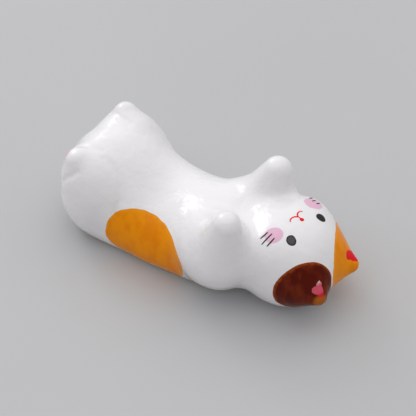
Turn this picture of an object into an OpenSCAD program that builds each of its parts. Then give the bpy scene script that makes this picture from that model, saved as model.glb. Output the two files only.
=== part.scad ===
// Chopstick rest: a small cast and glazed ceramic cat lying on its back.
// The chopsticks lie across the belly, in the dip between the raised legs.
// Millimetres, +Z up, head at +X, the cat's right side at +Y, flat foot on Z = 0.

/* [Main sizes] */
// Length of the rest, from the rump to the ears
rest_length = 59.5; // [54:0.5:65]
// Width of the rest, over the forelegs
rest_width = 27.4; // [25:0.2:30]
// Height of the rest, to the forepaws
rest_height = 22.4; // [20.4:0.2:24.4]

/* [Torso] */
// Along X, the middle of the rump
rump_x = -19.7; // [-20.5:0.1:-19]
// Above the table, the middle of the rump
rump_z = 8.1; // [7.8:0.1:8.6]
// Half of the rump's length
rump_half_length = 9.8; // [9.2:0.1:10.4]
// Half of the rump's width
rump_half_width = 11.1; // [10.5:0.1:11.6]
// Half of the rump's height, before the foot is cut flat
rump_half_height = 11; // [10.5:0.1:11.5]
// Along X, the middle of the belly
belly_x = -7.2; // [-8:0.1:-6.4]
// Above the table, the middle of the belly
belly_z = 5.2; // [4.9:0.1:5.6]
// Half of the belly's length
belly_half_length = 18.9; // [18:0.1:20]
// Half of the belly's width
belly_half_width = 11.1; // [10.5:0.1:11.6]
// Half of the belly's height, before the foot is cut flat
belly_half_height = 8.7; // [8.3:0.1:9.2]
// Along X, the middle of the chest
chest_x = 6.2; // [5.6:0.1:6.8]
// Above the table, the middle of the chest
chest_z = 7.5; // [7.2:0.1:7.8]
// Half of the chest's length
chest_half_length = 9.1; // [8.6:0.1:9.6]
// Half of the chest's width
chest_half_width = 10.4; // [9.8:0.1:10.9]
// Half of the chest's height
chest_half_height = 8.1; // [7.9:0.1:8.6]
// How far the rump, belly and chest melt into each other
torso_melt = 6; // [5:0.1:7]

/* [Haunches and hind legs] */
// Along X, the middle of a haunch
haunch_x = -20; // [-20.6:0.1:-19.4]
// From the mid plane to the middle of a haunch
haunch_y = 6.5; // [6:0.1:7]
// Above the table, the middle of a haunch
haunch_z = 9.6; // [9:0.1:10.2]
// Half of a haunch's length
haunch_half_length = 6.3; // [5.9:0.1:6.8]
// Half of a haunch's width
haunch_half_width = 6.3; // [5.9:0.1:6.6]
// Half of a haunch's height
haunch_half_height = 8; // [7.6:0.1:8.4]
// How far a haunch melts into the rump
haunch_melt = 2.4; // [1.8:0.1:3]
// Along X, the root of a hind leg
hind_root_x = -21.8; // [-22.2:0.1:-21.4]
// From the mid plane to the root of a hind leg
hind_root_y = 6; // [5.6:0.1:6.4]
// Above the table, the root of a hind leg
hind_root_z = 13.9; // [13.5:0.1:14.3]
// Radius of a hind leg at its root
hind_root_radius = 4.8; // [4.5:0.1:5.1]
// Along X, the middle of a hind paw
hind_paw_x = -22.9; // [-23.2:0.1:-22.5]
// From the mid plane to the middle of a hind paw
hind_paw_y = 7.7; // [7.4:0.1:8]
// Above the table, the middle of a hind paw
hind_paw_z = 17.2; // [16.8:0.1:17.5]
// Radius of a hind paw
hind_paw_radius = 2.4; // [2.2:0.1:2.6]
// How far a hind leg melts into its haunch
hind_melt = 2.2; // [1.6:0.1:3]

/* [Forelegs] */
// Along X, the root of a foreleg
fore_root_x = 9.2; // [8.9:0.1:9.5]
// From the mid plane to the root of a foreleg
fore_root_y = 7.5; // [7.2:0.1:7.8]
// Above the table, the root of a foreleg
fore_root_z = 10.1; // [9.7:0.1:10.5]
// Radius of a foreleg at its root
fore_root_radius = 6.2; // [5.9:0.1:6.4]
// Along X, the middle of a forepaw
fore_paw_x = 10.8; // [10.5:0.1:11.1]
// From the mid plane to the middle of a forepaw
fore_paw_y = 8.8; // [8.5:0.1:9]
// Above the table, the middle of a forepaw
fore_paw_z = 19.9; // [19.4:0.1:20.3]
// Radius of a forepaw
fore_paw_radius = 2.5; // [2.3:0.1:2.7]
// How far a foreleg melts into the chest
fore_melt = 3.4; // [2.8:0.1:4]

/* [Head and ears] */
// Along X, the middle of the head
head_x = 17.7; // [17.3:0.1:18.1]
// Off the mid plane, the middle of the head
head_y = 1.4; // [0.9:0.1:1.6]
// Above the table, the middle of the head
head_z = 8.5; // [8.3:0.1:8.8]
// Half of the head's length
head_half_length = 10.7; // [10.3:0.1:11]
// Half of the head's width
head_half_width = 10.4; // [10:0.1:10.8]
// Half of the head's height
head_half_height = 9.3; // [9:0.1:9.6]
// How far the head melts into the neck
neck_melt = 2.8; // [2.3:0.1:3.3]
// Turn of the head about the vertical, degrees
head_turn = -3.7; // [-5:0.1:0]
// From the head's middle forwards to the root of an ear
ear_root_x = 2.5; // [2.2:0.1:2.8]
// From the head's middle sideways to the root of an ear
ear_root_y = 2.1; // [1.8:0.1:2.4]
// Below the head's middle, the root of an ear
ear_root_drop = 0.9; // [0.6:0.1:1.2]
// Radius of an ear at its root
ear_root_radius = 6.3; // [6:0.1:6.6]
// From the head's middle forwards to the tip of an ear
ear_tip_x = 10.8; // [10.5:0.1:11]
// From the head's middle sideways to the tip of an ear
ear_tip_y = 5.2; // [4.9:0.1:5.5]
// Below the head's middle, the tip of an ear
ear_tip_drop = 1; // [0.7:0.1:1.3]
// Radius of the tip of an ear
ear_tip_radius = 1.5; // [1.4:0.05:1.7]
// How far an ear melts into the head
ear_melt = 3; // [2.5:0.1:3.5]

/* [Casting] */
// Height of the bare foot below the glaze line
foot_height = 0.6; // [0.4:0.1:0.9]
// Along X, the vertical joint between the torso and the head
neck_x = 14.4; // [14:0.1:14.8]
// Radius that rounds the fold where the two sides meet
fold_radius = 0.8; // [0.6:0.1:1]

/* [Painted areas] */
// Thickness of the coloured enamels
enamel_thickness = 0.1; // [0.08:0.01:0.14]
// Clearance that keeps an enamel off the facets of the body
enamel_lift = 0.06; // [0.05:0.01:0.08]
// Along X, the highest point of the orange patch on the left flank
flank_x = -8.5; // [-9.5:0.1:-7.5]
// Above the table, the middle of the flank patch
flank_z = 5.5; // [5.2:0.1:5.9]
// From there to the patch's edge towards the tail
flank_to_tail = 5.8; // [5:0.1:6.4]
// From there to the patch's edge towards the head
flank_to_head = 11.2; // [10:0.1:11.6]
// From there to the patch's upper edge
flank_up = 6.4; // [5.6:0.1:6.8]
// From there to the patch's lower edge
flank_down = 4.2; // [3.4:0.1:4.4]
// Along X, the left eye
left_eye_x = 21; // [20.6:0.1:21.4]
// Off the mid plane, the left eye
left_eye_y = -2.6; // [-3:0.1:-2.2]
// Along X, the right eye
right_eye_x = 22; // [21.6:0.1:22.4]
// Off the mid plane, the right eye
right_eye_y = 5.6; // [5.2:0.1:6]
// Radius of an eye
eye_radius = 0.8; // [0.7:0.05:0.95]
// Along X, the left cheek's blush
left_cheek_x = 17.8; // [17.5:0.1:18.1]
// Off the mid plane, the left cheek's blush
left_cheek_y = -3.7; // [-4:0.1:-3.4]
// Along X, the right cheek's blush
right_cheek_x = 18.6; // [18.3:0.1:18.9]
// Off the mid plane, the right cheek's blush
right_cheek_y = 8.6; // [8.3:0.1:8.8]
// Radius of a blush
cheek_radius = 1.6; // [1.4:0.05:1.7]
// Along X, the nose
nose_x = 20.3; // [20.2:0.05:20.5]
// Off the mid plane, the nose
nose_y = 2; // [1.9:0.05:2.1]
// Radius of the nose
nose_radius = 0.38; // [0.34:0.02:0.44]
// Along X, the point where the two curves of the mouth meet
mouth_x = 19.3; // [19.2:0.05:19.4]
// Off the mid plane, the point where the two curves meet
mouth_y = 2.2; // [2.1:0.05:2.3]
// Length of the mouth's left curve
mouth_left = 2; // [1.8:0.1:2.2]
// Length of the mouth's right curve
mouth_right = 1.7; // [1.5:0.1:1.9]
// How far the mouth's left curve bows
mouth_left_bow = 0.55; // [0.45:0.05:0.65]
// How far the mouth's right curve bows
mouth_right_bow = 0.35; // [0.3:0.05:0.45]
// How far round each curve of the mouth curls, degrees
mouth_curl = 145; // [130:5:160]
// Width of the painted lines
line_width = 0.24; // [0.2:0.02:0.3]
// Sole pad, its radius as an angle seen from the middle of the paw
pad_angle = 30; // [26:1:34]
// Sole pad, how far above level it faces
pad_rise = 25; // [20:1:30]
// Sole pad, how far it faces away from the tail towards its own side, degrees
pad_aside = 6; // [2:1:10]
// Brown patch, the way it faces from inside the left ear, degrees right of the nose line
brown_faces = 18; // [14:1:22]
// Brown patch, angle to its edge at the forehead
brown_to_forehead = 36; // [32:1:40]
// Brown patch, angle to its edge at the brow
brown_to_brow = 65; // [60:1:70]
// Brown patch, angle to its edge at the side of the head
brown_to_side = 80; // [75:1:85]
// Brown patch, angle to its edge under the head
brown_to_table = 60; // [55:1:62]
// Orange patch, the way it faces from inside the right ear, degrees left of the nose line
orange_faces = 12.5; // [9:0.5:16]
// Orange patch, angle to its edge at the side of the head
orange_to_side = 82; // [76:1:85]
// Orange patch, angle to its edge at the brow
orange_to_brow = 66; // [60:1:70]
// Orange patch, angle to its edge at the forehead
orange_to_forehead = 49; // [45:1:52]
// Orange patch, angle to its edge under the head
orange_to_table = 58; // [54:1:60]
// Mark inside an ear, its radius as an angle seen from inside the ear
ear_mark_angle = 8.5; // [7:0.5:10]
// Mark inside an ear, how far above level it faces
ear_mark_rise = 22; // [18:1:26]

/* [Hidden] */

glaze_white = [0.93, 0.93, 0.94];
bare_clay = [0.80, 0.76, 0.69];
orange = [0.87, 0.50, 0.08];
brown = [0.28, 0.09, 0.03];
blush = [0.90, 0.70, 0.84];
ear_pink = [0.75, 0.25, 0.35];
red = [0.80, 0.08, 0.12];
ink = [0.12, 0.11, 0.12];

// The forms below are drawn at their own sizes and then brought to the main sizes.
drawn_length = head_x + ear_tip_x + ear_tip_radius + rump_half_length - rump_x;
drawn_width = 2 * (fore_root_y + fore_root_radius);
drawn_height = fore_paw_z + fore_paw_radius;
stretch_shares = [rest_length / drawn_length, rest_width / drawn_width,
                  rest_height / drawn_height];

function sized(spots) =
    [for (s = spots)
        [s.x * stretch_shares.x, s.y * stretch_shares.y, s.z * stretch_shares.z]];

// Solid shapes are written as a field: below 0 inside, 0 on the skin, above 0 outside.
rump = [[rump_x, 0, rump_z], [rump_half_length, rump_half_width, rump_half_height]];
belly = [[belly_x, 0, belly_z], [belly_half_length, belly_half_width, belly_half_height]];
chest = [[chest_x, 0, chest_z], [chest_half_length, chest_half_width, chest_half_height]];
haunch = [[haunch_x, haunch_y, haunch_z],
          [haunch_half_length, haunch_half_width, haunch_half_height]];
skull = [[0, 0, 0], [head_half_length, head_half_width, head_half_height]];
hind = limb([hind_root_x, hind_root_y, hind_root_z], [hind_paw_x, hind_paw_y, hind_paw_z],
            hind_root_radius, hind_paw_radius);
fore = limb([fore_root_x, fore_root_y, fore_root_z], [fore_paw_x, fore_paw_y, fore_paw_z],
            fore_root_radius, fore_paw_radius);
ear = limb([ear_root_x, ear_root_y, -ear_root_drop], [ear_tip_x, ear_tip_y, -ear_tip_drop],
           ear_root_radius, ear_tip_radius);
head_middle = [head_x, head_y, head_z];
turn_cos = cos(head_turn);
turn_sin = sin(head_turn);

// A limb is a ball at its root, swept and tapered to a ball at its tip.
function limb(root, tip, root_radius, tip_radius) =
    let (length = norm(tip - root))
    [root, tip - root, length, tan(asin((root_radius - tip_radius) / length)),
     root_radius, tip_radius - root_radius];

function limb_field(p, l) =
    let (w = p - l[0],
         along = w * l[1] / l[2],
         aside = sqrt(max(w * w - along * along, 0)),
         h = min(max((along - aside * l[3]) / l[2], 0), 1))
    norm(w - h * l[1]) - l[4] - h * l[5];

// The two ends of a limb's axis, on one side of the mid plane.
function limb_axis(l, side) =
    [for (p = [l[0], l[0] + l[1]]) [p.x, p.y * (side == LEFT ? -1 : 1), p.z]];

function egg_field(p, e) =
    let (q = p - e[0],
         r = e[1],
         a = norm([q.x / r.x, q.y / r.y, q.z / r.z]),
         b = norm([q.x / r.x / r.x, q.y / r.y / r.y, q.z / r.z / r.z]))
    a * (a - 1) / b;

// The lesser of two fields, with the corner between them melted over a width k.
function melt(a, b, k) = let (h = max(k - abs(a - b), 0) / k) min(a, b) - h * h * k / 4;

function folded(p) = [p.x, sqrt(p.y * p.y + fold_radius * fold_radius), p.z];

function head_place(p) =
    let (q = p - head_middle)
    [turn_cos * q.x + turn_sin * q.y, turn_cos * q.y - turn_sin * q.x, q.z];

function turned(q) = [turn_cos * q.x - turn_sin * q.y, turn_sin * q.x + turn_cos * q.y, q.z];

function head_axis(ends) = [for (p = ends) head_middle + turned(p)];

function torso_field(p) =
    let (m = folded(p),
         trunk = melt(melt(egg_field(p, rump), egg_field(p, belly), torso_melt),
                      egg_field(p, chest), torso_melt),
         seat = melt(trunk, egg_field(m, haunch), haunch_melt))
    melt(melt(seat, limb_field(m, hind), hind_melt), limb_field(m, fore), fore_melt);

function head_field(p) =
    let (q = head_place(p))
    melt(egg_field(q, skull), limb_field(folded(q), ear), ear_melt);

function skin_field(p) = melt(torso_field(p), head_field(p), neck_melt);

// The skin is sampled on a net. Meridians stand all round the foot, numbered from the tail
// end to the head end on each side, and rows climb from the glaze line to the crest.
// Side 0 is the cat's left, at -Y, and side 1 is its right, at +Y.
LEFT = 0;
RIGHT = 1;
tail_count = 14;
chest_count = 34;
neck_count = 52;
crown_count = 56;
head_count = 82;
rows = 28;
body_rows_share = [[0, 0], [9, 0.46], [25, 0.9], [rows, 1]];
head_rows_share = [[0, 0], [3, 0.14], [17, 0.6], [rows, 1]];

spine_tail_x = rump_x + rump_half_length * 0.15;
spine_z = head_z * 0.47;
finest = belly_half_width / 8000;

// A limb's own patch of the net: side, first and last meridian, first and last row,
// and how far out, in half patches, the net is still rounded around it.
left_fore_patch = [LEFT, 37, 51, 11, 25, 1.14];
right_fore_patch = [RIGHT, 37, 51, 11, 25, 1.14];
left_hind_patch = [LEFT, 5, 13, 12, 23, 1.4];
right_hind_patch = [RIGHT, 5, 13, 12, 23, 1.4];
left_ear_patch = [LEFT, 70, 80, 7, 17, 1.4];
right_ear_patch = [RIGHT, 69, 79, 7, 17, 1.4];
leg_patches = [left_fore_patch, right_fore_patch, left_hind_patch, right_hind_patch];
ear_patches = [left_ear_patch, right_ear_patch];
all_patches = concat(leg_patches, ear_patches);

oval_power = 2.5;

// How many rings a limb has from rim to tip.
leg_rings = 8;
paw_rings = 6;
ear_rings = 7;

// How many rings, and spots in a ring, a painted area has.
flank_counts = [8, 32];
patch_counts = [11, 32];
ear_mark_counts = [3, 16];
eye_counts = [2, 20];
cheek_counts = [3, 22];
nose_counts = [2, 14];
pad_counts = [4, 18];
whisker_steps = 4;
mouth_steps = 8;
full_turn = 360;

// How much of a limb's climb from rim to tip is its wall. The rest rounds the tip.
wall_share = 0.6;

// Turns a patch of the net from a rectangle to an oval, and eases the net around it.
function rounding(u, v, patch) =
    let (half_u = (patch[2] - patch[1]) / 2,
         half_v = (patch[4] - patch[3]) / 2,
         a = (u - patch[1]) / half_u - 1,
         b = (v - patch[3]) / half_v - 1,
         m = max(abs(a), abs(b)))
    m == 0 || m >= patch[5] ? [0, 0] :
    let (corner = min(abs(a), abs(b)) / m,
         pull = pow(1 + pow(corner, oval_power), -1 / oval_power) - 1,
         fade = min((patch[5] - m) / (patch[5] - 1), 1))
    [a * half_u, b * half_v] * pull * fade;

function rounded(side, u, v) =
    [u, v] + [for (p = all_patches) p[0] == side ? 1 : 0]
             * [for (p = all_patches) rounding(u, v, p)];

function spine_x(u) =
    lookup(u, [[tail_count, spine_tail_x],
               [chest_count, fore_root_x - fore_root_radius * 0.74],
               [neck_count, neck_x],
               [crown_count, head_x]]);

function heading(u) =
    lookup(u, [[0, 180], [tail_count, 90], [crown_count, 90], [head_count, 0]]);

function level_heading(side, u) =
    let (h = heading(u)) [cos(h), sin(h) * (side == LEFT ? -1 : 1), 0];

// How far out from o, along d, the field reaches a level. The slope of the last step sets
// the next one, so that rays that nearly graze the skin still land on it.
function reach(o, d, level = 0, t = 0, last_t = -1, last_f = 0, tries = 40) =
    let (f = skin_field(o + t * d) - level,
         slope = last_t < 0 ? 1 : min(max((f - last_f) / (t - last_t), 0.12), 1))
    tries == 0 || abs(f) < finest ? t :
    reach(o, d, level, t - f / slope, t, f, tries - 1);

function outline_spot(side, u, z) =
    let (o = [spine_x(u), 0, z], d = level_heading(side, u))
    o + d * reach(o, d);

// Slope of the lowest ray of each meridian, which meets the skin at the glaze line.
lowest_slope = [for (side = [LEFT, RIGHT])
    [for (u = [0 : head_count])
        let (s = outline_spot(side, u, foot_height) - [spine_x(u), 0, foot_height])
        [u, atan2(foot_height - spine_z, norm(s))]]];

function row_share(u, v) =
    let (t = lookup(u, [[neck_count, 0], [crown_count + 4, 1]]))
    lookup(v, body_rows_share) * (1 - t) + lookup(v, head_rows_share) * t;

function skin_spot(side, u, v) =
    v == 0 ? outline_spot(side, u, foot_height) :
    let (w = rounded(side, u, v),
         low = lookup(w.x, lowest_slope[side]),
         slope = low + (90 - low) * row_share(w.x, w.y),
         o = [spine_x(w.x), 0, spine_z],
         d = level_heading(side, w.x) * cos(slope) + [0, 0, sin(slope)])
    o + d * reach(o, d);

function in_patch(side, u, v, p) =
    p[0] == side && u >= p[1] && u < p[2] && v >= p[3] && v < p[4];

function in_any(side, u, v, patches) =
    len([for (p = patches) if (in_patch(side, u, v, p)) 1]) > 0;

// The rim of a patch, as [side, meridian, row], clockwise seen from outside.
function rim(p) =
    let (way = concat([for (v = [p[3] : p[4] - 1]) [p[0], p[1], v]],
                      [for (u = [p[1] : p[2] - 1]) [p[0], u, p[4]]],
                      [for (v = [p[4] : -1 : p[3] + 1]) [p[0], p[2], v]],
                      [for (u = [p[2] : -1 : p[1] + 1]) [p[0], u, p[3]]]))
    p[0] == LEFT ? way : [for (k = [len(way) - 1 : -1 : 0]) way[k]];

function mean(spots) = [for (s = spots) 1] * spots / len(spots);

// The middle of the face on which a limb is luted to the body.
function root_spot(p) =
    mean([for (s = rim(p)) skin_spot(s[0], s[1], s[2])]);

// Two triangles of a quad, or one where two of its corners are the same spot. Where the
// spots are given, the quad is cut along its shorter diagonal.
function halves(q, spots = []) =
    let (crossed = len(spots) > 0 &&
             norm(spots[q[1]] - spots[q[3]]) < norm(spots[q[0]] - spots[q[2]]))
    [for (t = crossed ? [[q[0], q[1], q[3]], [q[1], q[2], q[3]]]
                      : [[q[0], q[1], q[2]], [q[0], q[2], q[3]]])
        if (t[0] != t[1] && t[1] != t[2] && t[2] != t[0]) t];

function cell(side, q, spots) =
    halves(side == LEFT ? [q[0], q[3], q[2], q[1]] : q, spots);

// A stretch of the body from one meridian to another, on both sides, with a flat bottom.
module trunk(first, last, patches) {
    span = last - first + 1;
    crest_first = max(first, tail_count);
    crest_last = min(last, crown_count);
    function id(side, u, v) =
        v == rows ? 2 * span * rows + min(max(u, crest_first), crest_last) - crest_first :
        (side == RIGHT && u != 0 && u != head_count ? span * rows : 0)
            + (u - first) * rows + v;
    spots = [for (side = [LEFT, RIGHT]) for (u = [first : last]) for (v = [0 : rows - 1])
        skin_spot(side, u, v)];
    crest = [for (u = [crest_first : crest_last]) skin_spot(LEFT, u, rows)];
    roots = [for (p = patches) root_spot(p)];
    neck_id = len(spots) + len(crest) + len(roots);
    all_spots = concat(spots, crest, roots, [[neck_x, 0, spine_z]]);
    skin = [for (side = [LEFT, RIGHT]) for (u = [first : last - 1]) for (v = [0 : rows - 1])
        if (!in_any(side, u, v, patches))
            each cell(side, [id(side, u, v), id(side, u + 1, v),
                             id(side, u + 1, v + 1), id(side, u, v + 1)], all_spots)];
    bottom = [for (u = [first : last - 1])
        each halves([id(LEFT, u, 0), id(LEFT, u + 1, 0), id(RIGHT, u + 1, 0), id(RIGHT, u, 0)])];
    sockets = [for (k = [0 : len(patches) - 1])
        let (r = rim(patches[k]), n = len(r))
        for (j = [0 : n - 1])
            [len(spots) + len(crest) + k,
             id(r[j][0], r[j][1], r[j][2]),
             id(r[(j + 1) % n][0], r[(j + 1) % n][1], r[(j + 1) % n][2])]];
    ring = concat([for (v = [0 : rows]) id(LEFT, neck_count, v)],
                  [for (v = [rows - 1 : -1 : 0]) id(RIGHT, neck_count, v)]);
    turned = first == neck_count;
    neck = [for (k = [0 : len(ring) - 1])
        let (a = ring[k], b = ring[(k + 1) % len(ring)])
        turned ? [neck_id, b, a] : [neck_id, a, b]];
    polyhedron(points = sized(all_spots), faces = concat(skin, bottom, sockets, neck),
               convexity = 6);
}

// A leg or an ear: rings of the skin from the rim of its patch to its tip, closed by the
// face on which it is luted. The rings are found from the limb's own axis.
module limb_piece(patch, axis, rings) {
    r = rim(patch);
    n = len(r);
    along = (axis[1] - axis[0]) / norm(axis[1] - axis[0]);
    tip_height = norm(axis[1] - axis[0]);
    function ring_spot(k, s) =
        let (height = (s - axis[0]) * along,
             aside = s - axis[0] - along * height,
             climb = k / rings,
             o = axis[0] + along * (height + (tip_height - height) * min(climb / wall_share, 1)),
             lift = 90 * max(climb - wall_share, 0) / (1 - wall_share),
             d = aside / norm(aside) * cos(lift) + along * sin(lift))
        o + d * reach(o, d);
    edge = [for (s = r) skin_spot(s[0], s[1], s[2])];
    spots = concat(edge, [for (k = [1 : rings - 1]) for (s = edge) ring_spot(k, s)],
                   [axis[1] + along * reach(axis[1], along), root_spot(patch)]);
    tip = n * rings;
    skin = [for (k = [0 : rings - 2]) for (j = [0 : n - 1])
        let (m = (j + 1) % n)
        each halves([k * n + j, k * n + m, k * n + n + m, k * n + n + j], spots)];
    cap = [for (j = [0 : n - 1]) [tip - n + j, tip - n + (j + 1) % n, tip]];
    root = [for (j = [0 : n - 1]) [tip + 1, (j + 1) % n, j]];
    polyhedron(points = sized(spots), faces = concat(skin, cap, root), convexity = 6);
}

// The unglazed foot, from the table to the glaze line.
module foot_slab() {
    way = concat([for (u = [0 : head_count]) [LEFT, u]],
                 [for (u = [head_count - 1 : -1 : 1]) [RIGHT, u]]);
    n = len(way);
    low = [for (w = way) outline_spot(w[0], w[1], 0)];
    high = [for (w = way) outline_spot(w[0], w[1], foot_height)];
    function across(k) = (n - k) % n;
    sides = [for (k = [0 : n - 1])
        let (m = (k + 1) % n)
        each [[k, k + n, m + n], [k, m + n, m]]];
    caps = [for (k = [0 : head_count - 1])
        each concat(halves([k, k + 1, across(k + 1), across(k)]),
                    halves([n + across(k), n + across(k + 1), n + k + 1, n + k]))];
    polyhedron(points = sized(concat(low, high)), faces = concat(sides, caps), convexity = 6);
}

// Where painted areas are laid from. A cast area is drawn on a plane and carried along a
// straight direction. A round area is drawn in degrees around an axis from a spot inside.
left_ear_seat = head_middle + turned([ear_root_x * 1.8, -ear_root_y * 1.9, -ear_tip_drop]);
right_ear_seat = head_middle + turned([ear_root_x * 1.8, ear_root_y * 1.9, -ear_tip_drop]);
left_pad_seat = [hind_paw_x, -hind_paw_y, hind_paw_z];
right_pad_seat = [hind_paw_x, hind_paw_y, hind_paw_z];
left_cheek_seat = [left_cheek_x, left_cheek_y];
right_cheek_seat = [right_cheek_x, right_cheek_y];
whisker_shares = [[[-0.95, 0.11], [-1.3, -0.72]],
                  [[-0.36, 0.12], [-0.83, -1.17]],
                  [[0.14, -0.21], [-0.13, -1.15]]];

// An outline made of four quarters of an oval, each as wide as its own reach.
function outline(a, reaches, square) =
    let (c = cos(a), s = sin(a),
         wide = c > 0 ? reaches[0] : reaches[2],
         high = s > 0 ? reaches[1] : reaches[3])
    pow(pow(abs(c) / wide, square) + pow(abs(s) / high, square), -1 / square);

function axes(azimuth, rise) =
    [[-sin(azimuth), cos(azimuth), 0],
     [-cos(azimuth) * sin(rise), -sin(azimuth) * sin(rise), cos(rise)],
     [cos(azimuth) * cos(rise), sin(azimuth) * cos(rise), sin(rise)]];

function cast_ray(seat, way, a, r) = [seat + (way[0] * cos(a) + way[1] * sin(a)) * r, way[2]];

function round_ray(seat, way, a, r) =
    [seat, way[2] * cos(r) + (way[0] * cos(a) + way[1] * sin(a)) * sin(r)];

function laid(ray, level) = ray[0] + ray[1] * reach(ray[0], ray[1], level);

// A painted area as a thin solid that follows the skin, in rings about its seat.
module enamel(seat, azimuth, rise, reaches, counts, cast = false, square = 2, crowd = 1,
              layer = 0) {
    rings = counts[0];
    sectors = counts[1];
    way = axes(azimuth, rise);
    low = enamel_lift + layer * (enamel_lift + enamel_thickness);
    function ray(a, share) =
        let (r = outline(a, reaches, square) * share)
        cast ? cast_ray(seat, way, a, r) : round_ray(seat, way, a, r);
    function sheet(level) =
        concat([laid(ray(0, 0), level)],
               [for (k = [1 : rings]) for (j = [0 : sectors - 1])
                   laid(ray(full_turn * j / sectors, pow(k / rings, crowd)), level)]);
    function id(k, j) = k == 0 ? 0 : 1 + (k - 1) * sectors + j % sectors;
    above = 1 + rings * sectors;
    cells = [for (k = [0 : rings - 1]) for (j = [0 : sectors - 1])
        each halves([id(k, j), id(k, j + 1), id(k + 1, j + 1), id(k + 1, j)])];
    top = [for (t = cells) [t[0] + above, t[1] + above, t[2] + above]];
    bottom = [for (t = cells) [t[2], t[1], t[0]]];
    edge = [for (j = [0 : sectors - 1])
        let (a = id(rings, j), b = id(rings, j + 1))
        each [[a, a + above, b + above], [a, b + above, b]]];
    polyhedron(points = sized(concat(sheet(low), sheet(low + enamel_thickness))),
               faces = concat(top, bottom, edge), convexity = 8);
}

// A painted line on the face, laid from above along a path in plan.
module line(path, layer = 0) {
    low = enamel_lift + layer * (enamel_lift + enamel_thickness);
    n = len(path);
    levels = [low, low + enamel_thickness];
    function aside(k) =
        let (d = path[min(k + 1, n - 1)] - path[max(k - 1, 0)])
        [-d.y, d.x] / norm(d) * line_width / 2;
    function spot(k, side, level) =
        let (s = path[k] + aside(k) * side)
        laid([[s.x, s.y, head_z], [0, 0, 1]], level);
    spots = [for (k = [0 : n - 1])
        each [spot(k, 1, levels[0]), spot(k, -1, levels[0]),
              spot(k, -1, levels[1]), spot(k, 1, levels[1])]];
    sides = [for (k = [0 : n - 2]) for (j = [0 : 3])
        let (m = (j + 1) % 4)
        each halves([4 * k + j, 4 * k + m, 4 * k + 4 + m, 4 * k + 4 + j])];
    ends = concat(halves([3, 2, 1, 0]),
                  halves([4 * n - 4, 4 * n - 3, 4 * n - 2, 4 * n - 1]));
    polyhedron(points = sized(spots), faces = concat(sides, ends), convexity = 6);
}

function between(a, b, steps) = [for (k = [0 : steps]) a + (b - a) * k / steps];

module whisker(seat, mirrored, k) {
    ends = [for (e = whisker_shares[k]) seat + [e.x, e.y * mirrored] * cheek_radius];
    color(ink) line(between(ends[0], ends[1], whisker_steps), layer = 1);
}

module face_spot(x, y, radius, counts) {
    enamel([x, y, head_z], full_turn / 2, full_turn / 4, [1, 1, 1, 1] * radius, counts,
           cast = true);
}

module torso() { color(glaze_white) trunk(0, neck_count, leg_patches); }
module head() { color(glaze_white) trunk(neck_count, head_count, ear_patches); }
module left_foreleg() {
    color(glaze_white) limb_piece(left_fore_patch, limb_axis(fore, LEFT), leg_rings);
}
module right_foreleg() {
    color(glaze_white) limb_piece(right_fore_patch, limb_axis(fore, RIGHT), leg_rings);
}
module left_hind_leg() {
    color(glaze_white) limb_piece(left_hind_patch, limb_axis(hind, LEFT), paw_rings);
}
module right_hind_leg() {
    color(glaze_white) limb_piece(right_hind_patch, limb_axis(hind, RIGHT), paw_rings);
}
module left_ear() {
    color(glaze_white) limb_piece(left_ear_patch, head_axis(limb_axis(ear, LEFT)), ear_rings);
}
module right_ear() {
    color(glaze_white) limb_piece(right_ear_patch, head_axis(limb_axis(ear, RIGHT)), ear_rings);
}
module bare_foot() { color(bare_clay) foot_slab(); }
module flank_enamel() {
    color(orange)
    enamel([flank_x, 0, flank_z], -90, 0, [flank_to_head, flank_up, flank_to_tail, flank_down],
           flank_counts, cast = true, square = oval_power);
}
module brown_head_enamel() {
    color(brown)
    enamel(left_ear_seat, -brown_faces, 0,
           [brown_to_forehead, brown_to_brow, brown_to_side, brown_to_table], patch_counts,
           crowd = 1.15);
}
module orange_ear_enamel() {
    color(orange)
    enamel(right_ear_seat, orange_faces, 0,
           [orange_to_side, orange_to_brow, orange_to_forehead, orange_to_table], patch_counts,
           crowd = 1.15);
}
module left_inner_ear() {
    color(ear_pink)
    enamel(left_ear_seat, -brown_faces, ear_mark_rise, [1, 1, 1, 1] * ear_mark_angle,
           ear_mark_counts, layer = 1);
}
module right_inner_ear() {
    color(red)
    enamel(right_ear_seat, orange_faces, ear_mark_rise, [1, 1, 1, 1] * ear_mark_angle,
           ear_mark_counts, layer = 1);
}
module left_eye() { color(ink) face_spot(left_eye_x, left_eye_y, eye_radius, eye_counts); }
module right_eye() { color(ink) face_spot(right_eye_x, right_eye_y, eye_radius, eye_counts); }
module left_cheek() {
    color(blush) face_spot(left_cheek_x, left_cheek_y, cheek_radius, cheek_counts);
}
module right_cheek() {
    color(blush) face_spot(right_cheek_x, right_cheek_y, cheek_radius, cheek_counts);
}
module left_whisker_1() { whisker(left_cheek_seat, 1, 0); }
module left_whisker_2() { whisker(left_cheek_seat, 1, 1); }
module left_whisker_3() { whisker(left_cheek_seat, 1, 2); }
module right_whisker_1() { whisker(right_cheek_seat, -1, 0); }
module right_whisker_2() { whisker(right_cheek_seat, -1, 1); }
module right_whisker_3() { whisker(right_cheek_seat, -1, 2); }
module nose() { color(red) face_spot(nose_x, nose_y, nose_radius, nose_counts); }
module philtrum() {
    a = [mouth_x, mouth_y];
    b = [nose_x, nose_y];
    way = (b - a) / norm(b - a);
    color(red) line(between(a + way * line_width * 0.7, b - way * nose_radius * 1.15, 2));
}
module mouth() {
    left = [for (k = [mouth_steps : -1 : 1])
        [mouth_x - mouth_left_bow * sin(mouth_curl * k / mouth_steps),
         mouth_y - mouth_left * k / mouth_steps]];
    right = [for (k = [0 : mouth_steps])
        [mouth_x - mouth_right_bow * sin(mouth_curl * k / mouth_steps),
         mouth_y + mouth_right * k / mouth_steps]];
    color(red) line(concat(left, right));
}
module left_paw_pad() {
    color(blush)
    enamel(left_pad_seat, full_turn / 2 + pad_aside, pad_rise, [1, 1, 1, 1] * pad_angle,
           pad_counts);
}
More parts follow.
